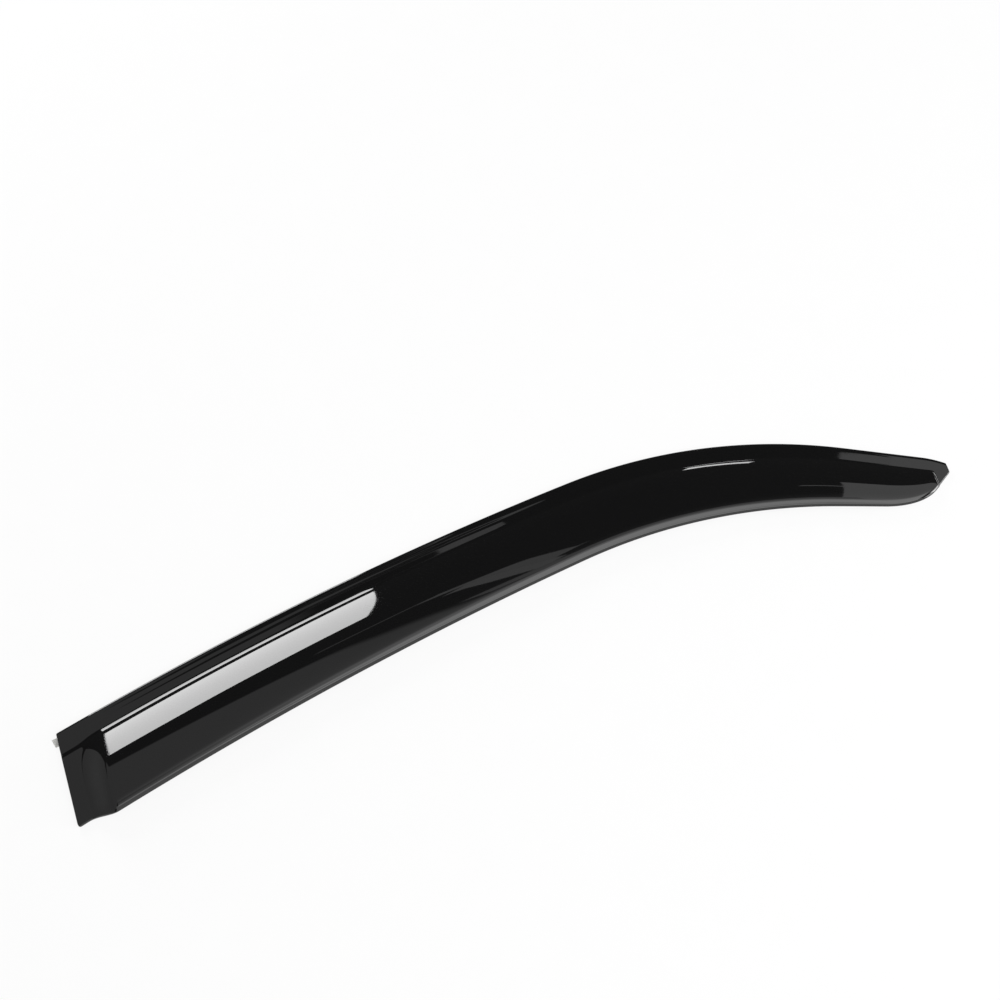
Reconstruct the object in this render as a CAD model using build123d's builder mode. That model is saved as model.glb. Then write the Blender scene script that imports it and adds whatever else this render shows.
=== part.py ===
"""Rain deflector for a rear side window: a smoked acrylic moulding with its bonding tape and release film.

X runs along the door from front to rear, Y up the door and Z away from it. The origin lies on the release
film's face, on the centre line of the top tape, under the crown of the window arch.
Lengths are in millimetres and angles in degrees.
"""

import os
from math import asin, cos, degrees, radians, sin, sqrt, tan

from build123d import *

os.makedirs("parts", exist_ok=True)

# Thicknesses, from the door outwards
liner_thickness = 0.15
tape_thickness = 1.1
wall = 2.5

# Where the moulding ends, along X from the crown of the arch
front_reach = 456.0
rear_reach = 243.0

# Top edge in plan: a long roof arc, a tighter bend over the crown and a straight tail, all tangent
top_roof_radius = 2740.0
top_bend_radius = 404.0
top_roof_turn = 5.6
top_tail_turn = 25.3

# Free lower edge in plan: the same kind of line, about a crown of its own
free_roof_radius = 3070.0
free_bend_radius = 444.0
free_roof_turn = 8.4
free_tail_turn = 17.6
free_crown_drop = 64.5
free_crown_setback = 15.5

# Cross-section at the wide end, from the top edge to the free edge
front_flange = 14.0
rear_flange = 11.0
fold_width = 4.0
rise_width = 38.0
crown_width = 15.5
lip_width = 7.5
body_depth = 14.0
crown_slope = 5.0
lip_slope = 40.0

# Front end: a flat end flange, then a ramp up to the full depth
end_flange = 8.5
ramp_length = 24.0
edge_set_in = 9.2

# Rear end: the free edge rounds up to a steep nose, then comes a short flat tongue with a slanted lower edge
tongue_length = 11.0
nose_length = 5.0
nose_round = 52.0
nose_overrun = 4.0
tongue_height = 8.0
tongue_slant = 34.0
tongue_corner_length = 16.0
tongue_corner_drop = 2.6
tongue_flange_share = 0.6
full_lip_scale = 0.5

# Trimmed edges: a flat along the long edges, eased on both sides, and rounded ends
edge_flat = 1.0
end_rounding = 0.8

# Bonding tape and its release film
tape_width = 6.0
tape_inset = 5.5
tape_end_gap = 3.0
liner_overlap = 0.3
pull_tab = 3.5
end_tape_width = 5.0
end_tape_edge_gap = 1.5
end_tape_corner_gap = 5.0

# Steps between sections in each stretch of the moulding, from front to rear
end_flange_steps = 1
ramp_steps = 6
body_steps = 12
turn_steps = 8
nose_steps = 6
tongue_steps = 2

# Levels and stations that follow from the sizes above
tape_back = liner_thickness
flange_back = tape_back + tape_thickness
flange_face = flange_back + wall
front_end = -front_reach
rear_end = rear_reach
ramp_start = front_end + end_flange
ramp_end = ramp_start + ramp_length
nose_end = rear_end - tongue_length
nose_start = nose_end - nose_length
turn_start = nose_end + nose_overrun - nose_round
body_width = fold_width + rise_width + crown_width + lip_width
edge_ease = wall / 2


def arch(x, roof_radius, bend_radius, roof_turn, tail_turn):
    """Height at x of an edge whose crown is at the origin: roof arc, bend arc, straight tail."""
    roof, tail = radians(roof_turn), radians(tail_turn)
    if x < -bend_radius * sin(roof):
        step = roof_radius - bend_radius
        return sqrt(roof_radius**2 - (x - step * sin(roof)) ** 2) - bend_radius - step * cos(roof)
    if x < bend_radius * sin(tail):
        return sqrt(bend_radius**2 - x**2) - bend_radius
    return bend_radius * (cos(tail) - 1) - (x - bend_radius * sin(tail)) * tan(tail)


def ease(share):
    """Smooth step from 0 to 1 that is level and uncurved at both ends."""
    share = min(max(share, 0.0), 1.0)
    return share**3 * (10 - 15 * share + 6 * share**2)


def front_share(x):
    return ease((x - ramp_start) / ramp_length)


def rear_share(x):
    return ease((nose_end - x) / nose_length)


def top_edge(x):
    """The top edge follows the window frame and drops away at the tongue's corner."""
    corner = max(0.0, 1 - (rear_end - x) / tongue_corner_length)
    line = tape_inset + arch(x, top_roof_radius, top_bend_radius, top_roof_turn, top_tail_turn)
    return line - tongue_corner_drop * corner**2


def tongue_edge(x):
    return top_edge(rear_end) - tongue_height + (x - rear_end) * tan(radians(tongue_slant))


def free_line(x):
    """Line of the free edge before the nose, set in at the flat front flange."""
    line = tape_inset - free_crown_drop + arch(
        x - free_crown_setback, free_roof_radius, free_bend_radius, free_roof_turn, free_tail_turn
    )
    return line + edge_set_in * (1 - front_share(x))


def nose_rise(x):
    """Elliptical rise from the free line, which would end upright a little past the nose."""
    reach = max(0.0, (x - turn_start) / nose_round)
    return 1 - sqrt(1 - reach**2)


def free_edge(x):
    if x > nose_end:
        return tongue_edge(x)
    lift = tongue_edge(nose_end) - free_line(nose_end)
    return free_line(x) + lift * nose_rise(x) / nose_rise(nose_end)


def flange_width(x):
    along = (x - front_end) / (rear_end - front_end)
    full = front_flange + (rear_flange - front_flange) * along
    return min(full, tongue_flange_share * (top_edge(x) - free_edge(x)))


def section_knots(x, setback=0.0):
    """Distance from the top edge, height above the flange's face, and slope where the curves meet.

    Narrow sections are shallower and their lip rolls less. A setback starts the end ramps further in.
    """
    flange = flange_width(x)
    scale = (top_edge(x) - free_edge(x) - edge_ease - flange) / body_width
    raised = front_share(x - setback) * rear_share(x + setback)
    lip_angle = lip_slope * min(1.0, scale / full_lip_scale)
    rises = [
        (fold_width, 2 * body_depth / (fold_width + rise_width)),
        (rise_width, 0.0),
        (crown_width, -tan(radians(crown_slope))),
        (lip_width, -tan(radians(lip_angle))),
    ]
    knots = [(edge_ease, 0.0, 0.0), (flange, 0.0, 0.0)]
    for width, end_slope in rises:
        across, height, slope = knots[-1]
        step = width * scale
        end_slope *= raised
        knots.append((across + step, height + step * (slope + end_slope) / 2, end_slope))
    return knots


def wall_knots(knots):
    """The back of the wall, one wall thickness inside the outer face."""
    return [
        (across + wall * slope / sqrt(1 + slope**2), height - wall / sqrt(1 + slope**2), slope)
        for across, height, slope in knots
    ]


def curve(start, end):
    """Curve between two knots, with the slope of each."""
    third = (end[0] - start[0]) / 3
    return Bezier(
        start[:2],
        (start[0] + third, start[1] + third * start[2]),
        (end[0] - third, end[1] - third * end[2]),
        end[:2],
    )


def eased_edge(outer, back, outward):
    """Trimmed edge from the outer face to the back of the wall: a flat with a slope on each side."""
    length = sqrt(1 + outer[2] ** 2)
    reach = (outward * edge_ease / length, outward * edge_ease * outer[2] / length)
    half_flat = (-edge_flat / 2 * outer[2] / length, edge_flat / 2 / length)
    middle = ((outer[0] + back[0]) / 2 + reach[0], (outer[1] + back[1]) / 2 + reach[1])
    Polyline(
        outer[:2],
        (middle[0] + half_flat[0], middle[1] + half_flat[1]),
        (middle[0] - half_flat[0], middle[1] - half_flat[1]),
        back[:2],
    )


def stations(start, end, steps):
    return [start + (end - start) * step / steps for step in range(steps + 1)]


# The moulding in six stretches, each lofted through even sections square to X
stretches = [
    stations(front_end, ramp_start, end_flange_steps),
    stations(ramp_start, ramp_end, ramp_steps),
    stations(ramp_end, turn_start, body_steps),
    stations(turn_start, nose_start, turn_steps),
    stations(nose_start, nose_end, nose_steps),
    stations(nose_end, rear_end, tongue_steps),
]

# Deflector shell: flange, fold, crowned body and lip in one wall, closed down to the flange at both ends
with BuildPart() as shell:
    for stretch in stretches:
        for station in stretch:
            outer = section_knots(station)
            back = wall_knots(section_knots(station, edge_ease))
            section_plane = Plane(
                origin=(station, top_edge(station), flange_face), x_dir=(0, -1, 0), z_dir=(-1, 0, 0)
            )
            with BuildSketch(section_plane):
                with BuildLine():
                    Line(outer[0][:2], outer[1][:2])
                    for knot in range(1, 5):
                        curve(outer[knot], outer[knot + 1])
                    eased_edge(outer[5], back[5], 1)
                    for knot in range(5, 1, -1):
                        curve(back[knot], back[knot - 1])
                    Line(back[1][:2], back[0][:2])
                    eased_edge(outer[0], back[0], -1)
                make_face()
        loft()
    along_door = shell.edges().group_by(Axis.X)
    fillet(along_door[0] + along_door[-1], end_rounding)
shell.part.label = "deflector_shell"
export_step(shell.part, "parts/deflector_shell.step")


def tape_line(start_x, end_x):
    """Centre line of the top tape: the top edge moved in by the tape's inset."""
    roof_radius = top_roof_radius - tape_inset
    bend_radius = top_bend_radius - tape_inset
    radius_step = roof_radius - bend_radius
    roof_centre = (
        radius_step * sin(radians(top_roof_turn)),
        -bend_radius - radius_step * cos(radians(top_roof_turn)),
    )
    start_turn = degrees(asin((roof_centre[0] - start_x) / roof_radius))
    CenterArc(roof_centre, roof_radius, 90 + start_turn, top_roof_turn - start_turn)
    bend = CenterArc((0, -bend_radius), bend_radius, 90 + top_roof_turn, -top_roof_turn - top_tail_turn)
    tail_length = (end_x - (bend @ 1).X) / cos(radians(top_tail_turn))
    Line(bend @ 1, bend @ 1 + (bend % 1) * tail_length)


# Foam tape along the back of the top flange
with BuildPart() as top_tape:
    with BuildSketch(Plane.XY.offset(tape_back)):
        with BuildLine():
            tape_line(front_end + tape_end_gap, rear_end - tape_end_gap)
        trace(line_width=tape_width)
    extrude(amount=tape_thickness)
top_tape.part.label = "top_edge_tape"
export_step(top_tape.part, "parts/top_edge_tape.step")

# Release film on the top tape, left long at the front as a pull tab
with BuildPart() as top_liner:
    with BuildSketch():
        with BuildLine():
            tape_line(front_end - pull_tab, rear_end - tape_end_gap)
        trace(line_width=tape_width + 2 * liner_overlap)
    extrude(amount=liner_thickness)
top_liner.part.label = "top_edge_liner"
export_step(top_liner.part, "parts/top_edge_liner.step")

# Short tape down the back of the front end flange
end_tape_middle = front_end + end_tape_edge_gap + end_tape_width / 2
end_tape_top = top_edge(front_end) - tape_inset - tape_width - end_tape_corner_gap
end_tape_bottom = free_edge(front_end) + end_tape_corner_gap
end_tape_centre = (end_tape_middle, (end_tape_top + end_tape_bottom) / 2)
end_tape_length = end_tape_top - end_tape_bottom
with BuildPart() as end_tape:
    with BuildSketch(Plane.XY.offset(tape_back)):
        with Locations(end_tape_centre):
            Rectangle(end_tape_width, end_tape_length)
    extrude(amount=tape_thickness)
end_tape.part.label = "end_tape"
export_step(end_tape.part, "parts/end_tape.step")

# Release film on the end tape
with BuildPart() as end_liner:
    with BuildSketch():
        with Locations(end_tape_centre):
            Rectangle(end_tape_width + 2 * liner_overlap, end_tape_length + 2 * liner_overlap)
    extrude(amount=liner_thickness)
end_liner.part.label = "end_liner"
export_step(end_liner.part, "parts/end_liner.step")
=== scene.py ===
from math import pi, radians

import bpy
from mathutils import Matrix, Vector


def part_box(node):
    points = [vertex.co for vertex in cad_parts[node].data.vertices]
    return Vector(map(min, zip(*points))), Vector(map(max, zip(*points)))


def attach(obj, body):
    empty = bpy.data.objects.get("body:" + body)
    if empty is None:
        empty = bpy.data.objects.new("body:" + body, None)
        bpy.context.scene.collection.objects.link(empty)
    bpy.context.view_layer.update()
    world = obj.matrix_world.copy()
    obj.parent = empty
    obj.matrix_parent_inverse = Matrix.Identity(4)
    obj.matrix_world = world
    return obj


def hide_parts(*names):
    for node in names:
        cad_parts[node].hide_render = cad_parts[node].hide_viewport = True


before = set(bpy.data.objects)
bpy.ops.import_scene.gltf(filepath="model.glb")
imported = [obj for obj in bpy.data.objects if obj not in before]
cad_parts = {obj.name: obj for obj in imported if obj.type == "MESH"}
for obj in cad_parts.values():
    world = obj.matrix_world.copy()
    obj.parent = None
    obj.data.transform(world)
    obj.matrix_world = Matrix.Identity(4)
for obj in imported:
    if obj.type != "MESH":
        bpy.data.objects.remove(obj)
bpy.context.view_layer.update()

# Deflector shell: one wall of dark smoked acrylic, moulded hot to the arch of the window frame. A flange
# runs along the top, then a fold, a crowned body and a rolled lip. A ramp and a nose bring the body down
# to flat flanges at its ends. Its edges are trimmed and flame polished round.
shell_sizes = {
    "Wall": 0.0025,
    "Flange face": 0.00375,
    "Front reach": 0.456,
    "Rear reach": 0.243,
    "Tape inset": 0.0055,
    "Top roof radius": 2.740,
    "Top bend radius": 0.404,
    "Top roof turn": radians(5.6),
    "Top tail turn": radians(25.3),
    "Free roof radius": 3.070,
    "Free bend radius": 0.444,
    "Free roof turn": radians(8.4),
    "Free tail turn": radians(17.6),
    "Free crown drop": 0.0645,
    "Free crown setback": 0.0155,
    "Top roll reach": 0.0022,
    "Top roll": 0.00022,
    "Front flange": 0.014,
    "Rear flange": 0.011,
    "Fold width": 0.004,
    "Rise width": 0.038,
    "Crown width": 0.0155,
    "Lip width": 0.0075,
    "Front depth": 0.014,
    "Rear depth": 0.011,
    "Flank reach": 0.002,
    "Flank height": 0.000064,
    "Crown slope": radians(5.0),
    "Lip slope": radians(40.0),
    "End flange": 0.0085,
    "Ramp length": 0.024,
    "Edge set in": 0.0092,
    "Front corner": 0.0025,
    "Crease start": 0.0155,
    "Crease width": 0.0060,
    "Crease height": 0.0009,
    "Tongue length": 0.011,
    "Nose length": 0.003,
    "Nose round": 0.052,
    "Nose overrun": 0.004,
    "Tongue height": 0.008,
    "Tongue slant": radians(34.0),
    "Tongue corner length": 0.016,
    "Tongue corner drop": 0.0026,
    "Tongue flange share": 0.6,
    "Full lip scale": 0.3,
    "End rounding": 0.0008,
}


class Measure:
    """A size in a node tree. Reckoning with it adds Math nodes to that tree."""

    def __init__(self, tree, socket):
        self.tree = tree
        self.socket = socket

    def math(self, operation, *values):
        """The result of a new Math node on these values."""
        node = self.tree.nodes.new("ShaderNodeMath")
        node.operation = operation
        for slot, value in zip(node.inputs, values):
            if isinstance(value, Measure):
                self.tree.links.new(value.socket, slot)
            else:
                slot.default_value = value
        return Measure(self.tree, node.outputs[0])

    def __add__(self, other):
        return self.math("ADD", self, other)

    def __radd__(self, other):
        return self.math("ADD", other, self)

    def __sub__(self, other):
        return self.math("SUBTRACT", self, other)

    def __rsub__(self, other):
        return self.math("SUBTRACT", other, self)

    def __mul__(self, other):
        return self.math("MULTIPLY", self, other)

    def __truediv__(self, other):
        return self.math("DIVIDE", self, other)

    def __neg__(self):
        return self.math("MULTIPLY", self, -1.0)

    def squared(self):
        return self.math("MULTIPLY", self, self)

    def root(self):
        return self.math("SQRT", self)

    def sine(self):
        return self.math("SINE", self)

    def cosine(self):
        return self.math("COSINE", self)

    def tangent(self):
        return self.math("TANGENT", self)

    def smaller(self, other):
        return self.math("MINIMUM", self, other)

    def larger(self, other):
        return self.math("MAXIMUM", self, other)

    def past(self, other):
        return self.math("GREATER_THAN", self, other)

    def whole(self):
        return self.math("FLOOR", self)

    def share(self, start, length, ease="LINEAR"):
        """How much of a stretch is passed, from 0 at its start to 1 at its end."""
        node = self.tree.nodes.new("ShaderNodeMapRange")
        node.interpolation_type = ease
        for slot, value in zip(("Value", "From Min", "From Max"), (self, start, start + length)):
            if isinstance(value, Measure):
                self.tree.links.new(value.socket, node.inputs[slot])
            else:
                node.inputs[slot].default_value = value
        return Measure(self.tree, node.outputs["Result"])


def new_tree(name, sizes):
    """A Geometry Nodes tree with one named input for each size."""
    tree = bpy.data.node_groups.new(name, "GeometryNodeTree")
    tree.interface.new_socket("Geometry", in_out="OUTPUT", socket_type="NodeSocketGeometry")
    for size, value in sizes.items():
        entry_socket = tree.interface.new_socket(size, in_out="INPUT", socket_type="NodeSocketFloat")
        entry_socket.default_value = value
    entry = tree.nodes.new("NodeGroupInput")
    return tree, {size: Measure(tree, entry.outputs[size]) for size in sizes}


def place(tree, geometry, x, y, z):
    """Set Position at three measures."""
    point = tree.nodes.new("ShaderNodeCombineXYZ")
    for slot, value in zip(point.inputs, (x, y, z)):
        tree.links.new(value.socket, slot)
    mover = tree.nodes.new("GeometryNodeSetPosition")
    tree.links.new(geometry, mover.inputs["Geometry"])
    tree.links.new(point.outputs[0], mover.inputs["Position"])
    return mover.outputs["Geometry"]


def finish_tree(tree, mesh, material):
    """Shade smooth, realize and give the material."""
    smooth = tree.nodes.new("GeometryNodeSetShadeSmooth")
    realize = tree.nodes.new("GeometryNodeRealizeInstances")
    dress = tree.nodes.new("GeometryNodeSetMaterial")
    dress.inputs["Material"].default_value = material
    leave = tree.nodes.new("NodeGroupOutput")
    tree.links.new(mesh, smooth.inputs["Geometry"])
    tree.links.new(smooth.outputs[0], realize.inputs["Geometry"])
    tree.links.new(realize.outputs[0], dress.inputs["Geometry"])
    tree.links.new(dress.outputs[0], leave.inputs[0])


def grow_piece(name, tree, sizes):
    """An object with the tree's result as its plain mesh."""
    piece = bpy.data.objects.new(name, bpy.data.meshes.new(name))
    bpy.context.scene.collection.objects.link(piece)
    modifier = piece.modifiers.new(name, "NODES")
    modifier.node_group = tree
    for item in tree.interface.items_tree:
        if item.in_out == "INPUT":
            modifier[item.identifier] = sizes[item.name]
    grown = piece.evaluated_get(bpy.context.evaluated_depsgraph_get())
    mesh = bpy.data.meshes.new_from_object(grown)
    piece.modifiers.clear()
    piece.data = mesh
    mesh.name = name
    return piece


def arch(x, roof_radius, bend_radius, roof_turn, tail_turn):
    """Height of an edge at x from its crown: a long roof arc, a tighter bend and a straight tail."""
    step = roof_radius - bend_radius
    roof = (roof_radius.squared() - (x - step * roof_turn.sine()).squared()).root()
    roof = roof - bend_radius - step * roof_turn.cosine()
    bend = (bend_radius.squared() - x.squared()).root() - bend_radius
    tail_start = bend_radius * tail_turn.sine()
    tail = bend_radius * (tail_turn.cosine() - 1.0) - (x - tail_start) * tail_turn.tangent()
    past_roof = x.past(-bend_radius * roof_turn.sine())
    return roof + (bend - roof) * past_roof + (tail - bend) * x.past(tail_start)


# Mesh rows along the door, close together over the front ramp and the nose
rounding_rows = 5
front_rows = 76
body_rows = 240
turn_rows = 44
nose_rows = 30
tongue_rows = 18
last_row = 2 + 2 * rounding_rows + front_rows + body_rows + turn_rows + nose_rows + tongue_rows

# Mesh points across each face of the wall, and round each of its long edges
flange_points = 20
fold_points = 16
flank_points = 12
rise_points = 24
crown_points = 10
lip_points = 10
edge_points = 8
half_points = flange_points + fold_points + flank_points + rise_points + crown_points + lip_points
loop_points = 2 * (half_points + edge_points) + 1

shell_tree, size = new_tree("deflector_shell_rule", shell_sizes)
front_end = -size["Front reach"]
rear_end = size["Rear reach"]
ramp_start = front_end + size["End flange"]
nose_end = rear_end - size["Tongue length"]
turn_start = nose_end + size["Nose overrun"] - size["Nose round"]
edge_ease = size["Wall"] * 0.5
rounding = size["End rounding"]

grid = shell_tree.nodes.new("GeometryNodeMeshGrid")
grid.inputs["Vertices X"].default_value = last_row + 1
grid.inputs["Vertices Y"].default_value = loop_points
index = Measure(shell_tree, shell_tree.nodes.new("GeometryNodeInputIndex").outputs[0])
row = ((index + 0.5) / loop_points).whole()
point = index - row * loop_points

# Where each row stands along the door, and how thick the wall is there: the ends are rounded and closed.
# The close rows reach a little past the ramp and the nose.
ramp_margin = 1.1
nose_margin = 1.2
quarter_turn = pi / 2
front_turn = row.share(1.0, rounding_rows) * quarter_turn
rear_turn = (last_row - row).share(1.0, rounding_rows) * quarter_turn
front_zone = size["End flange"] + size["Ramp length"] * ramp_margin
nose_zone = size["Nose length"] * nose_margin
turn_zone = nose_end - nose_zone - turn_start
body_zone = turn_start - front_end - rounding - front_zone
zones = [
    (front_zone, front_rows),
    (body_zone, body_rows),
    (turn_zone, turn_rows),
    (nose_zone, nose_rows),
    (size["Tongue length"] - rounding, tongue_rows),
]
x = front_end + rounding * (1.0 - front_turn.cosine()) + rounding * rear_turn.cosine()
first = 1.0 + rounding_rows
for zone, rows in zones:
    x = x + zone * row.share(first, rows)
    first = first + rows
inset = rounding * (2.0 - front_turn.sine() - rear_turn.sine())
open_wall = row.share(0.0, 1.0) * (last_row - row).share(0.0, 1.0)
half_wall = (edge_ease - inset) * open_wall

# Where each point lies round the section: out along the outer face, round the lip's edge, back along
# the inner face and round the top edge
along = point.share(0.0, half_points) - point.share(half_points + edge_points, half_points)
along = along * half_points
turn = point.share(half_points, edge_points) + point.share(2.0 * half_points + edge_points, edge_points)
turn = turn * pi
setback = edge_ease * (1.0 - turn.cosine()) * 0.5


def top_edge(x):
    """The top edge follows the window frame and drops away at the tongue's corner."""
    corner = x.share(rear_end - size["Tongue corner length"], size["Tongue corner length"])
    line = arch(
        x,
        size["Top roof radius"],
        size["Top bend radius"],
        size["Top roof turn"],
        size["Top tail turn"],
    )
    return size["Tape inset"] + line - size["Tongue corner drop"] * corner.squared()


def front_share(x):
    """How far the front ramp has risen."""
    return x.share(ramp_start, size["Ramp length"], "SMOOTHSTEP")


def free_line(x):
    """Line of the free edge before the nose, set in at the flat front flange."""
    line = arch(
        x - size["Free crown setback"],
        size["Free roof radius"],
        size["Free bend radius"],
        size["Free roof turn"],
        size["Free tail turn"],
    )
    set_in = size["Edge set in"] * (1.0 - front_share(x))
    return size["Tape inset"] - size["Free crown drop"] + line + set_in


def tongue_edge(x):
    """The slanted lower edge of the tongue."""
    return top_edge(rear_end) - size["Tongue height"] + (x - rear_end) * size["Tongue slant"].tangent()


def nose_rise(x):
    """Elliptical rise of the free edge, which would end upright a little past the nose."""
    return 1.0 - (1.0 - x.share(turn_start, size["Nose round"]).squared()).root()


# The two edges in plan. The free edge is set in at the front flange, where its corner is rounded. At
# the nose it rounds up to the slanted edge of the tongue.
top = top_edge(x)
nose_lift = tongue_edge(nose_end) - free_line(nose_end)
free = free_line(x) + nose_lift * nose_rise(x) / nose_rise(nose_end)
free = free + (tongue_edge(x) - free) * x.past(nose_end)
corner_left = 1.0 - x.share(front_end, size["Front corner"])
free = free + size["Front corner"] * (1.0 - (1.0 - corner_left.squared()).root())

# The section: slopes change evenly over the fold, rise, crown and lip
door_share = (x - front_end) / (rear_end - front_end)
flange = size["Front flange"] + (size["Rear flange"] - size["Front flange"]) * door_share
flange = flange.smaller((top - free) * size["Tongue flange share"])
body_width = size["Fold width"] + size["Rise width"] + size["Crown width"] + size["Lip width"]
scale = (top - free - edge_ease - flange) / body_width
rear_share = (nose_end - x - setback).share(0.0, size["Nose length"], "SMOOTHERSTEP")
raised = front_share(x - setback) * rear_share
lip_turn = size["Lip slope"] * (scale / size["Full lip scale"]).smaller(1.0)
depth = size["Front depth"] + (size["Rear depth"] - size["Front depth"]) * x.share(0.0, rear_end)
fold_slope = depth * 2.0 / (size["Fold width"] + size["Rise width"]) * raised
level = raised * 0.0
flank_share = 0.08
runs = [
    (size["Fold width"], fold_points, fold_slope),
    (size["Rise width"] * flank_share, flank_points, fold_slope * (1.0 - flank_share)),
    (size["Rise width"] * (1.0 - flank_share), rise_points, level),
    (size["Crown width"], crown_points, -size["Crown slope"].tangent() * raised),
    (size["Lip width"], lip_points, -lip_turn.tangent() * raised),
]
across = edge_ease + (flange - edge_ease) * along.share(0.0, flange_points)
height = level
slope = level
start_slope = level
start_point = flange_points
for width, points, end_slope in runs:
    part = along.share(start_point, points)
    change = end_slope - start_slope
    across = across + width * scale * part
    height = height + width * scale * (start_slope * part + change * part.squared() * 0.5)
    slope = slope + change * part
    start_slope = end_slope
    start_point = start_point + points
steepness = (1.0 + slope.squared()).root()
outward = half_wall * turn.sine()
upward = half_wall * turn.cosine() - edge_ease
outer_face = (1.0 + turn.cosine()) * 0.5 * open_wall

# A shallow crease carries the line of the fold across the outer face of the front flange. The fold's
# flank is a little steeper along the front half. The outer face rolls off slightly at the top edge.
flank_lead = 0.7
flank_spread = 2.0
flank_fade_start = -0.15
flank_fade_length = 0.2
crease = size["Crease height"] * across.share(size["Crease start"], size["Crease width"], "SMOOTHERSTEP")
crease = crease * (1.0 - front_share(x)) * outer_face
flank_start = flange + size["Fold width"] * scale - size["Flank reach"] * flank_lead
flank_rise = across.share(flank_start, size["Flank reach"] * flank_spread, "SMOOTHERSTEP")
flank = size["Flank height"] * flank_rise * raised * (1.0 - x.share(flank_fade_start, flank_fade_length))
roll = size["Top roll"] * (1.0 - across.share(edge_ease, size["Top roll reach"])).squared() * outer_face
shell_points = place(
    shell_tree,
    grid.outputs["Mesh"],
    x,
    top - across - (outward - slope * upward) / steepness,
    size["Flange face"] + height + crease + flank - roll + (upward + slope * outward) / steepness,
)

# The distance from the top edge is kept for the material. Points that meet are welded: the first and the
# last of each section, and those of both faces at the closed ends.
weld_distance = 1e-6
keep_across = shell_tree.nodes.new("GeometryNodeStoreNamedAttribute")
keep_across.data_type = "FLOAT"
keep_across.domain = "POINT"
keep_across.inputs["Name"].default_value = "across"
shell_tree.links.new(shell_points, keep_across.inputs["Geometry"])
shell_tree.links.new(across.socket, keep_across.inputs["Value"])
weld = shell_tree.nodes.new("GeometryNodeMergeByDistance")
weld.inputs["Distance"].default_value = weld_distance
shell_tree.links.new(keep_across.outputs["Geometry"], weld.inputs["Geometry"])
face_out = shell_tree.nodes.new("GeometryNodeFlipFaces")
shell_tree.links.new(weld.outputs["Geometry"], face_out.inputs["Mesh"])


def new_material(name):
    """A material with its shader and its Object coordinates."""
    material = bpy.data.materials.new(name)
    material.use_nodes = True
    shader = material.node_tree.nodes["Principled BSDF"]
    place_node = material.node_tree.nodes.new("ShaderNodeTexCoord")
    return material, shader, place_node.outputs["Object"]


def stretched(material, place_socket, factors):
    """Coordinates squeezed or drawn out along the axes."""
    mapping = material.node_tree.nodes.new("ShaderNodeMapping")
    mapping.inputs["Scale"].default_value = factors
    material.node_tree.links.new(place_socket, mapping.inputs["Vector"])
    return mapping.outputs["Vector"]


def noise(material, place_socket, scale, detail=2.0):
    """An uneven pattern. The scale is about the number of its spots to a metre."""
    node = material.node_tree.nodes.new("ShaderNodeTexNoise")
    node.inputs["Scale"].default_value = scale
    node.inputs["Detail"].default_value = detail
    material.node_tree.links.new(place_socket, node.inputs["Vector"])
    return node.outputs["Fac"]


# An uneven pattern seldom leaves this range
pattern_low = 0.3
pattern_middle = 0.5
pattern_high = 0.7


def between(material, share, low, high, start=pattern_low, end=pattern_high):
    """A number that follows a pattern from low to high."""
    node = material.node_tree.nodes.new("ShaderNodeMapRange")
    for slot, value in zip(("From Min", "From Max", "To Min", "To Max"), (start, end, low, high)):
        node.inputs[slot].default_value = value
    material.node_tree.links.new(share, node.inputs["Value"])
    return node.outputs["Result"]


def blended(material, share, first, second):
    """A colour that follows a pattern from first to second."""
    node = material.node_tree.nodes.new("ShaderNodeValToRGB")
    low_end, high_end = node.color_ramp.elements
    low_end.position = pattern_low
    low_end.color = (*first, 1.0)
    high_end.position = pattern_high
    high_end.color = (*second, 1.0)
    material.node_tree.links.new(share, node.inputs["Fac"])
    return node.outputs["Color"]


def relief(material, pattern, depth, under=None):
    """Bump of the given depth in metres, over another bump if there is one."""
    node = material.node_tree.nodes.new("ShaderNodeBump")
    node.inputs["Strength"].default_value = 1.0
    node.inputs["Distance"].default_value = depth
    material.node_tree.links.new(pattern, node.inputs["Height"])
    if under is not None:
        material.node_tree.links.new(under, node.inputs["Normal"])
    return node.outputs["Normal"]


# Smoked acrylic: near black under a hard clear coat, with the slight waviness of a hot moulding and a
# trace of dust and wiping
clean_black = (0.0030, 0.0030, 0.0031)
dusty_black = (0.0046, 0.0046, 0.0047)
clean_roughness = 0.012
wiped_roughness = 0.030
coat_index = 1.58
wipe_scale = 900.0
wipe_stretch = (0.15, 1.0, 1.0)
dust_scale = 1400.0
dust_detail = 3.0
dust_depth = 0.0000008
wave_scale = 14.0
wave_detail = 1.0
wave_depth = 0.00012
acrylic, shader, spot = new_material("smoked_acrylic")
wipe = noise(acrylic, stretched(acrylic, spot, wipe_stretch), wipe_scale)
dust = noise(acrylic, spot, dust_scale, dust_detail)
waves = noise(acrylic, spot, wave_scale, wave_detail)
links = acrylic.node_tree.links
links.new(blended(acrylic, dust, clean_black, dusty_black), shader.inputs["Base Color"])
links.new(between(acrylic, wipe, clean_roughness, wiped_roughness), shader.inputs["Roughness"])
shader.inputs["IOR"].default_value = coat_index
polish = relief(acrylic, waves, wave_depth)

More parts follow.
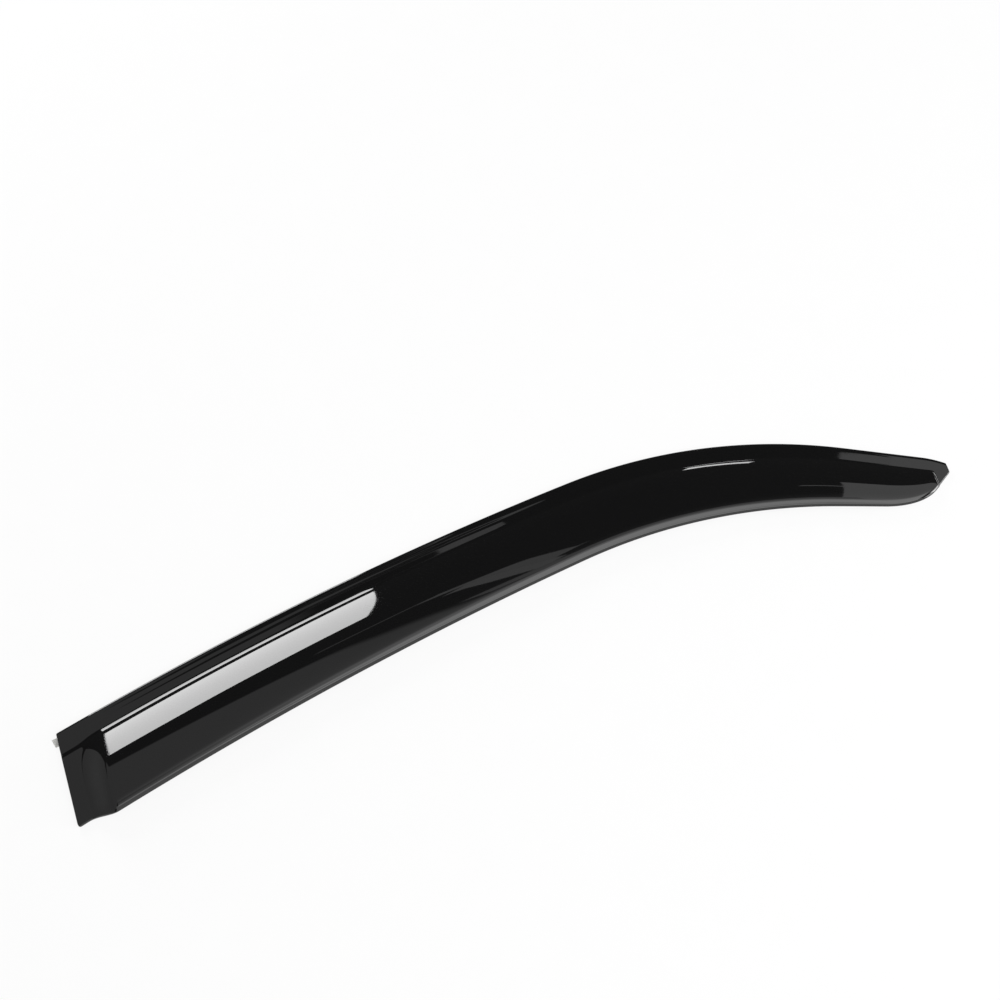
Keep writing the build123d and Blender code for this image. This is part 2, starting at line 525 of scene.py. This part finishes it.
# Shallow ripples run along the front part of the flange, side by side, and fade out towards the fold and
# the middle of the door
ripple_pitch = 0.004
ripple_end = 0.009
ripple_gone = 0.014
ripple_fade_start = -0.12
ripple_fade_end = 0.02
ripple_depth = 0.00006
ripple_wander = 2.4
wander_scale = 9.0
along_door = (1.0, 0.0, 0.0)
from_top = acrylic.node_tree.nodes.new("ShaderNodeAttribute")
from_top.attribute_name = "across"
from_top = from_top.outputs["Fac"]
split = acrylic.node_tree.nodes.new("ShaderNodeSeparateXYZ")
links.new(spot, split.inputs[0])
drift = noise(acrylic, stretched(acrylic, spot, along_door), wander_scale)
wander = Measure(acrylic.node_tree, drift) - pattern_middle
lane = Measure(acrylic.node_tree, from_top).share(0.0, ripple_end) * (2 * pi * ripple_end / ripple_pitch)
ripples = (lane + wander * ripple_wander).sine()
before_fold = between(acrylic, from_top, 1.0, 0.0, ripple_end, ripple_gone)
before_middle = between(acrylic, split.outputs["X"], 1.0, 0.0, ripple_fade_start, ripple_fade_end)
for fade in (before_fold, before_middle):
    ripples = ripples * Measure(acrylic.node_tree, fade)
rippled = relief(acrylic, ripples.socket, ripple_depth, polish)
links.new(relief(acrylic, dust, dust_depth, rippled), shader.inputs["Normal"])

finish_tree(shell_tree, face_out.outputs["Mesh"], acrylic)
shell = grow_piece("shell", shell_tree, shell_sizes)
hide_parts("deflector_shell")
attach(shell, "root")

# Top edge tape: a strip of dark acrylic foam, sticky on both faces, laid along the back of the top
# flange and rolled down. Its cut sides show the foam's cells.
top_tape_sizes = {
    "Width": 0.006,
    "Thickness": 0.0011,
    "Underside": 0.00015,
    "Corner": 0.0002,
    "Start": -0.453,
    "End": 0.240,
    "Roof radius": 2.7345,
    "Bend radius": 0.3985,
    "Roof turn": radians(5.6),
    "Tail turn": radians(25.3),
    "Tab": 0.0,
    "Tab lift": 0.0,
}
strip_rows = 160
corner_steps = 3
shortest_tab = 1e-6


def strip_along_arch(name, sizes, material):
    """A flat strip swept along the arch of the top edge, with a tab at its front that may lift."""
    tree, size = new_tree(name, sizes)
    line = tree.nodes.new("GeometryNodeCurvePrimitiveLine")
    fine = tree.nodes.new("GeometryNodeResampleCurve")
    fine.inputs["Count"].default_value = strip_rows
    tree.links.new(line.outputs[0], fine.inputs["Curve"])
    step = Measure(tree, tree.nodes.new("GeometryNodeSplineParameter").outputs["Factor"])
    x = size["Start"] + (size["End"] - size["Start"]) * step
    y = arch(x, size["Roof radius"], size["Bend radius"], size["Roof turn"], size["Tail turn"])
    lift = (1.0 - x.share(size["Start"], size["Tab"] + shortest_tab)).squared() * size["Tab lift"]
    path = place(tree, fine.outputs[0], x, y, size["Underside"] + size["Thickness"] * 0.5 + lift)
    sweep_strip(tree, size, path, material)
    return grow_piece(name, tree, sizes)


def sweep_strip(tree, size, path, material):
    """The strip's rounded section, swept level along a path."""
    level = tree.nodes.new("GeometryNodeSetCurveNormal")
    level.mode = "Z_UP"
    tree.links.new(path, level.inputs["Curve"])
    section = tree.nodes.new("GeometryNodeCurvePrimitiveQuadrilateral")
    tree.links.new(size["Width"].socket, section.inputs["Width"])
    tree.links.new(size["Thickness"].socket, section.inputs["Height"])
    eased = tree.nodes.new("GeometryNodeFilletCurve")
    eased.mode = "POLY"
    eased.inputs["Count"].default_value = corner_steps
    tree.links.new(section.outputs[0], eased.inputs["Curve"])
    tree.links.new(size["Corner"].socket, eased.inputs["Radius"])
    sweep = tree.nodes.new("GeometryNodeCurveToMesh")
    sweep.inputs["Fill Caps"].default_value = True
    tree.links.new(level.outputs[0], sweep.inputs["Curve"])
    tree.links.new(eased.outputs[0], sweep.inputs["Profile Curve"])
    finish_tree(tree, sweep.outputs[0], material)


# Foam: dark grey, dull, with small open cells
foam_dark = (0.030, 0.030, 0.031)
foam_pale = (0.060, 0.060, 0.061)
foam_roughness = 0.85
mottle_scale = 700.0
cell_scale = 2600.0
cell_depth = 0.00006
foam, shader, spot = new_material("tape_foam")
cells = foam.node_tree.nodes.new("ShaderNodeTexVoronoi")
cells.inputs["Scale"].default_value = cell_scale
links = foam.node_tree.links
links.new(spot, cells.inputs["Vector"])
mottle = noise(foam, spot, mottle_scale)
links.new(blended(foam, mottle, foam_dark, foam_pale), shader.inputs["Base Color"])
links.new(relief(foam, cells.outputs["Distance"], cell_depth), shader.inputs["Normal"])
shader.inputs["Roughness"].default_value = foam_roughness

top_tape = strip_along_arch("top_tape", top_tape_sizes, foam)
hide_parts("top_edge_tape")
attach(top_tape, "root")

# Top edge liner: thin pale release film on the sticky face of the tape. It is a little wider than the
# tape and left long at the front as a pull tab, which curls off the flat.
film_thickness = 0.00015
film_corner = 0.00003
top_film_sizes = {
    **top_tape_sizes,
    "Width": 0.0066,
    "Thickness": film_thickness,
    "Underside": 0.0,
    "Corner": film_corner,
    "Start": -0.4595,
    "Tab": 0.0035,
    "Tab lift": 0.0008,
}

# Release film: pale, satin, with faint creases across it
film_grey = (0.56, 0.56, 0.54)
film_pale = (0.68, 0.68, 0.66)
smooth_roughness = 0.30
creased_roughness = 0.45
cloud_scale = 160.0
crease_scale = 420.0
crease_stretch = (1.0, 0.25, 1.0)
crease_depth = 0.00002
film, shader, spot = new_material("release_film")
creases = noise(film, stretched(film, spot, crease_stretch), crease_scale)
clouds = noise(film, spot, cloud_scale)
links = film.node_tree.links
links.new(blended(film, clouds, film_grey, film_pale), shader.inputs["Base Color"])
links.new(between(film, creases, smooth_roughness, creased_roughness), shader.inputs["Roughness"])
links.new(relief(film, creases, crease_depth), shader.inputs["Normal"])

top_film = strip_along_arch("top_film", top_film_sizes, film)
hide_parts("top_edge_liner")
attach(top_film, "root")

# End tape: a short length of the same foam tape, cut square and stuck down the back of the flat front
# flange. It holds the wide end against the front post of the window frame.
low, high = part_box("end_tape")
end_tape_sizes = {
    "Width": high[0] - low[0],
    "Thickness": top_tape_sizes["Thickness"],
    "Underside": top_tape_sizes["Underside"],
    "Corner": top_tape_sizes["Corner"],
    "Middle": (low[0] + high[0]) / 2,
    "Top": high[1],
    "Bottom": low[1],
}
end_strip_rows = 24


def strip_down_end(name, sizes, material):
    """A flat strip swept straight down the end flange."""
    tree, size = new_tree(name, sizes)
    line = tree.nodes.new("GeometryNodeCurvePrimitiveLine")
    fine = tree.nodes.new("GeometryNodeResampleCurve")
    fine.inputs["Count"].default_value = end_strip_rows
    tree.links.new(line.outputs[0], fine.inputs["Curve"])
    step = Measure(tree, tree.nodes.new("GeometryNodeSplineParameter").outputs["Factor"])
    y = size["Top"] + (size["Bottom"] - size["Top"]) * step
    path = place(tree, fine.outputs[0], size["Middle"], y, size["Underside"] + size["Thickness"] * 0.5)
    sweep_strip(tree, size, path, material)
    return grow_piece(name, tree, sizes)


end_tape = strip_down_end("short_tape", end_tape_sizes, foam)
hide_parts("end_tape")
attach(end_tape, "root")

# End liner: release film on the short tape, cut a little larger than it all round. It keeps the tape
# clean and is peeled off before the part is bonded.
low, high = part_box("end_liner")
end_film_sizes = {
    **end_tape_sizes,
    "Width": high[0] - low[0],
    "Thickness": film_thickness,
    "Underside": 0.0,
    "Corner": film_corner,
    "Top": high[1],
    "Bottom": low[1],
}
end_film = strip_down_end("short_film", end_film_sizes, film)
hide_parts("end_liner")
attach(end_film, "root")

# Floor: a wide sheet of white paper on the studio table, on which the part lies on its film. Most of its
# white is its own glow, seen by the camera and in the gloss, and the rest takes the part's shadow.
floor_half_width = 60.0
floor_level = -0.0002
paper_grey = (0.86, 0.86, 0.86)
paper_pale = (0.89, 0.89, 0.89)
paper_scale = 40.0
paper_roughness = 0.9
paper_sheen = 0.1
glow_share = 0.88
glow_strength = 1.0
floor_mesh = bpy.data.meshes.new("floor")
signs = [(-1, -1), (1, -1), (1, 1), (-1, 1)]
corners = [(a * floor_half_width, b * floor_half_width, floor_level) for a, b in signs]
floor_mesh.from_pydata(corners, [], [(0, 1, 2, 3)])
floor = bpy.data.objects.new("floor", floor_mesh)
bpy.context.scene.collection.objects.link(floor)
paper, shader, spot = new_material("white_paper")
links = paper.node_tree.links
grain = noise(paper, spot, paper_scale)
links.new(blended(paper, grain, paper_grey, paper_pale), shader.inputs["Base Color"])
shader.inputs["Roughness"].default_value = paper_roughness
shader.inputs["Specular IOR Level"].default_value = paper_sheen
sight = paper.node_tree.nodes.new("ShaderNodeLightPath")
seen = Measure(paper.node_tree, sight.outputs["Is Camera Ray"])
for ray in ("Is Glossy Ray", "Is Transmission Ray"):
    seen = seen.larger(Measure(paper.node_tree, sight.outputs[ray]))
glow = paper.node_tree.nodes.new("ShaderNodeEmission")
glow.inputs["Strength"].default_value = glow_strength
white = paper.node_tree.nodes.new("ShaderNodeMixShader")
links.new((seen * glow_share).socket, white.inputs[0])
links.new(shader.outputs[0], white.inputs[1])
links.new(glow.outputs[0], white.inputs[2])
links.new(white.outputs[0], paper.node_tree.nodes["Material Output"].inputs["Surface"])
floor_mesh.materials.append(paper)

# Studio light: a tall softbox behind gives the broad band on the body, and a low lamp the short line on
# the fold. Boards overhead and at the sides give the grey sheen of the flats and the lip, and lamps at
# the right light the rim round the nose. The rest of the room is dark.
hanging_height = 1.5
least_fade = 1e-4


def soft_lamp(name, position, aim, width, height, brightness, turn=0.0, fade_left=0.0, fade_far=0.0):
    """A flat lamp facing its aim, of the given brightness, that may fade out at its left and far edges."""
    lamp = bpy.data.lights.new(name, "AREA")
    lamp.shape = "RECTANGLE"
    lamp.size = width
    lamp.size_y = height
    lamp.energy = pi * brightness * width * height
    lamp_object = bpy.data.objects.new(name, lamp)
    lamp_object.location = position
    facing = (Vector(aim) - Vector(position)).to_track_quat("-Z", "Y")
    lamp_object.rotation_euler = facing.to_euler()
    lamp_object.rotation_euler.rotate_axis("Z", turn)
    lamp_object.visible_camera = False
    bpy.context.scene.collection.objects.link(lamp_object)
    if fade_left or fade_far:
        fade_edges(lamp, fade_left, fade_far)


def fade_edges(lamp, fade_left, fade_far):
    """Strength that grows from nothing at the left and far edges, each over a share of the lamp's size."""
    lamp.use_nodes = True
    tree = lamp.node_tree
    spread = tree.nodes.new("ShaderNodeSeparateXYZ")
    tree.links.new(tree.nodes.new("ShaderNodeNewGeometry").outputs["Parametric"], spread.inputs[0])
    from_left = Measure(tree, spread.outputs["X"]).share(0.0, fade_left + least_fade, "SMOOTHSTEP")
    from_far = (1.0 - Measure(tree, spread.outputs["Y"])).share(0.0, fade_far + least_fade, "SMOOTHSTEP")
    tree.links.new((from_left * from_far).socket, tree.nodes["Emission"].inputs["Strength"])


def overhead_board(name, x, y, width, depth, brightness, turn=0.0, level=hanging_height, **fades):
    """A lit board that hangs level over the table."""
    soft_lamp(name, (x, y, level), (x, y, 0.0), width, depth, brightness, turn, **fades)


soft_lamp("back_softbox", position=(-0.576, 1.40, 0.705), aim=(-0.576, 0.417, 0.520),
          width=0.56, height=1.06, brightness=9.3, turn=radians(1.9))
soft_lamp("low_lamp", position=(0.625, 1.5, 0.198), aim=(0.625, 0.0, 0.198),
          width=0.262, height=0.08, brightness=6.9, turn=radians(-17.0))
overhead_board("left_board_far", x=-0.813, y=0.235, width=2.17, depth=1.1,
               brightness=0.37, turn=radians(-40.5), fade_far=0.0545)
overhead_board("left_board_middle", x=-1.173, y=-0.772, width=1.41, depth=0.9,
               brightness=0.37, turn=radians(-40.5))
overhead_board("left_board_near", x=-1.465, y=-0.85, width=1.07, depth=2.7, brightness=0.37)
overhead_board("middle_board", x=0.257, y=-0.047, width=0.66, depth=0.5,
               brightness=0.46, turn=radians(-8.7))
overhead_board("right_board", x=1.088, y=-0.559, width=1.5, depth=2.2,
               brightness=0.88, turn=radians(-23.6))
overhead_board("flange_card", x=0.675, y=0.463, width=0.10, depth=0.032,
               brightness=0.84, turn=radians(-21.0))
overhead_board("front_board", x=0.45, y=-0.8, width=1.9, depth=2.2,
               brightness=1.92, level=1.48, fade_left=0.474, fade_far=0.41)
overhead_board("batten_left", x=-0.19, y=0.75, width=0.234, depth=0.03,
               brightness=0.46, turn=radians(-20.0))
overhead_board("batten_right", x=0.064, y=0.494, width=0.52, depth=0.05,
               brightness=0.57, turn=radians(-56.3))
overhead_board("batten_near", x=0.088, y=0.367, width=0.36, depth=0.05,
               brightness=0.61, turn=radians(-56.3))
soft_lamp("left_wall", position=(-2.0, -0.3, 0.75), aim=(0.0, -0.3, 0.75),
          width=3.8, height=1.5, brightness=0.34)
soft_lamp("front_wall", position=(0.4, -2.2, 1.1), aim=(0.4, 0.0, 1.1),
          width=3.2, height=2.0, brightness=1.0)
soft_lamp("right_lamp", position=(2.2, 0.35, 0.275), aim=(0.2, 0.0, 0.1),
          width=1.1, height=0.45, brightness=8.0)
soft_lamp("rim_lamp", position=(2.2, -0.80, 0.65), aim=(0.2, -0.09, 0.0),
          width=0.95, height=1.2, brightness=9.0)
soft_lamp("rim_lamp_near", position=(2.2, -1.70, 0.65), aim=(0.2, -0.09, 0.0),
          width=0.9, height=1.2, brightness=4.0)

room_grey = (0.05, 0.05, 0.05, 1.0)
room = bpy.data.worlds.new("studio_room")
room.use_nodes = True
room.node_tree.nodes["Background"].inputs["Color"].default_value = room_grey
bpy.context.scene.world = room
bpy.context.scene.view_settings.view_transform = "Standard"

# Camera: looks down at 68 degrees from the lower left, through a 70 mm lens on a 36 mm square frame. It
# stands where the part's outline falls on the photographed one.
lens_length = 70.0
frame_width = 36.0
stand = (-0.2617, -0.5229, 1.3775)
look_at = Vector((-0.0922, 0.0072, 0.0))
camera_data = bpy.data.cameras.new("camera")
camera_data.lens = lens_length
camera_data.sensor_width = frame_width
camera = bpy.data.objects.new("camera", camera_data)
camera.location = stand
camera.rotation_euler = (look_at - camera.location).to_track_quat("-Z", "Y").to_euler()
bpy.context.scene.collection.objects.link(camera)
bpy.context.scene.camera = camera
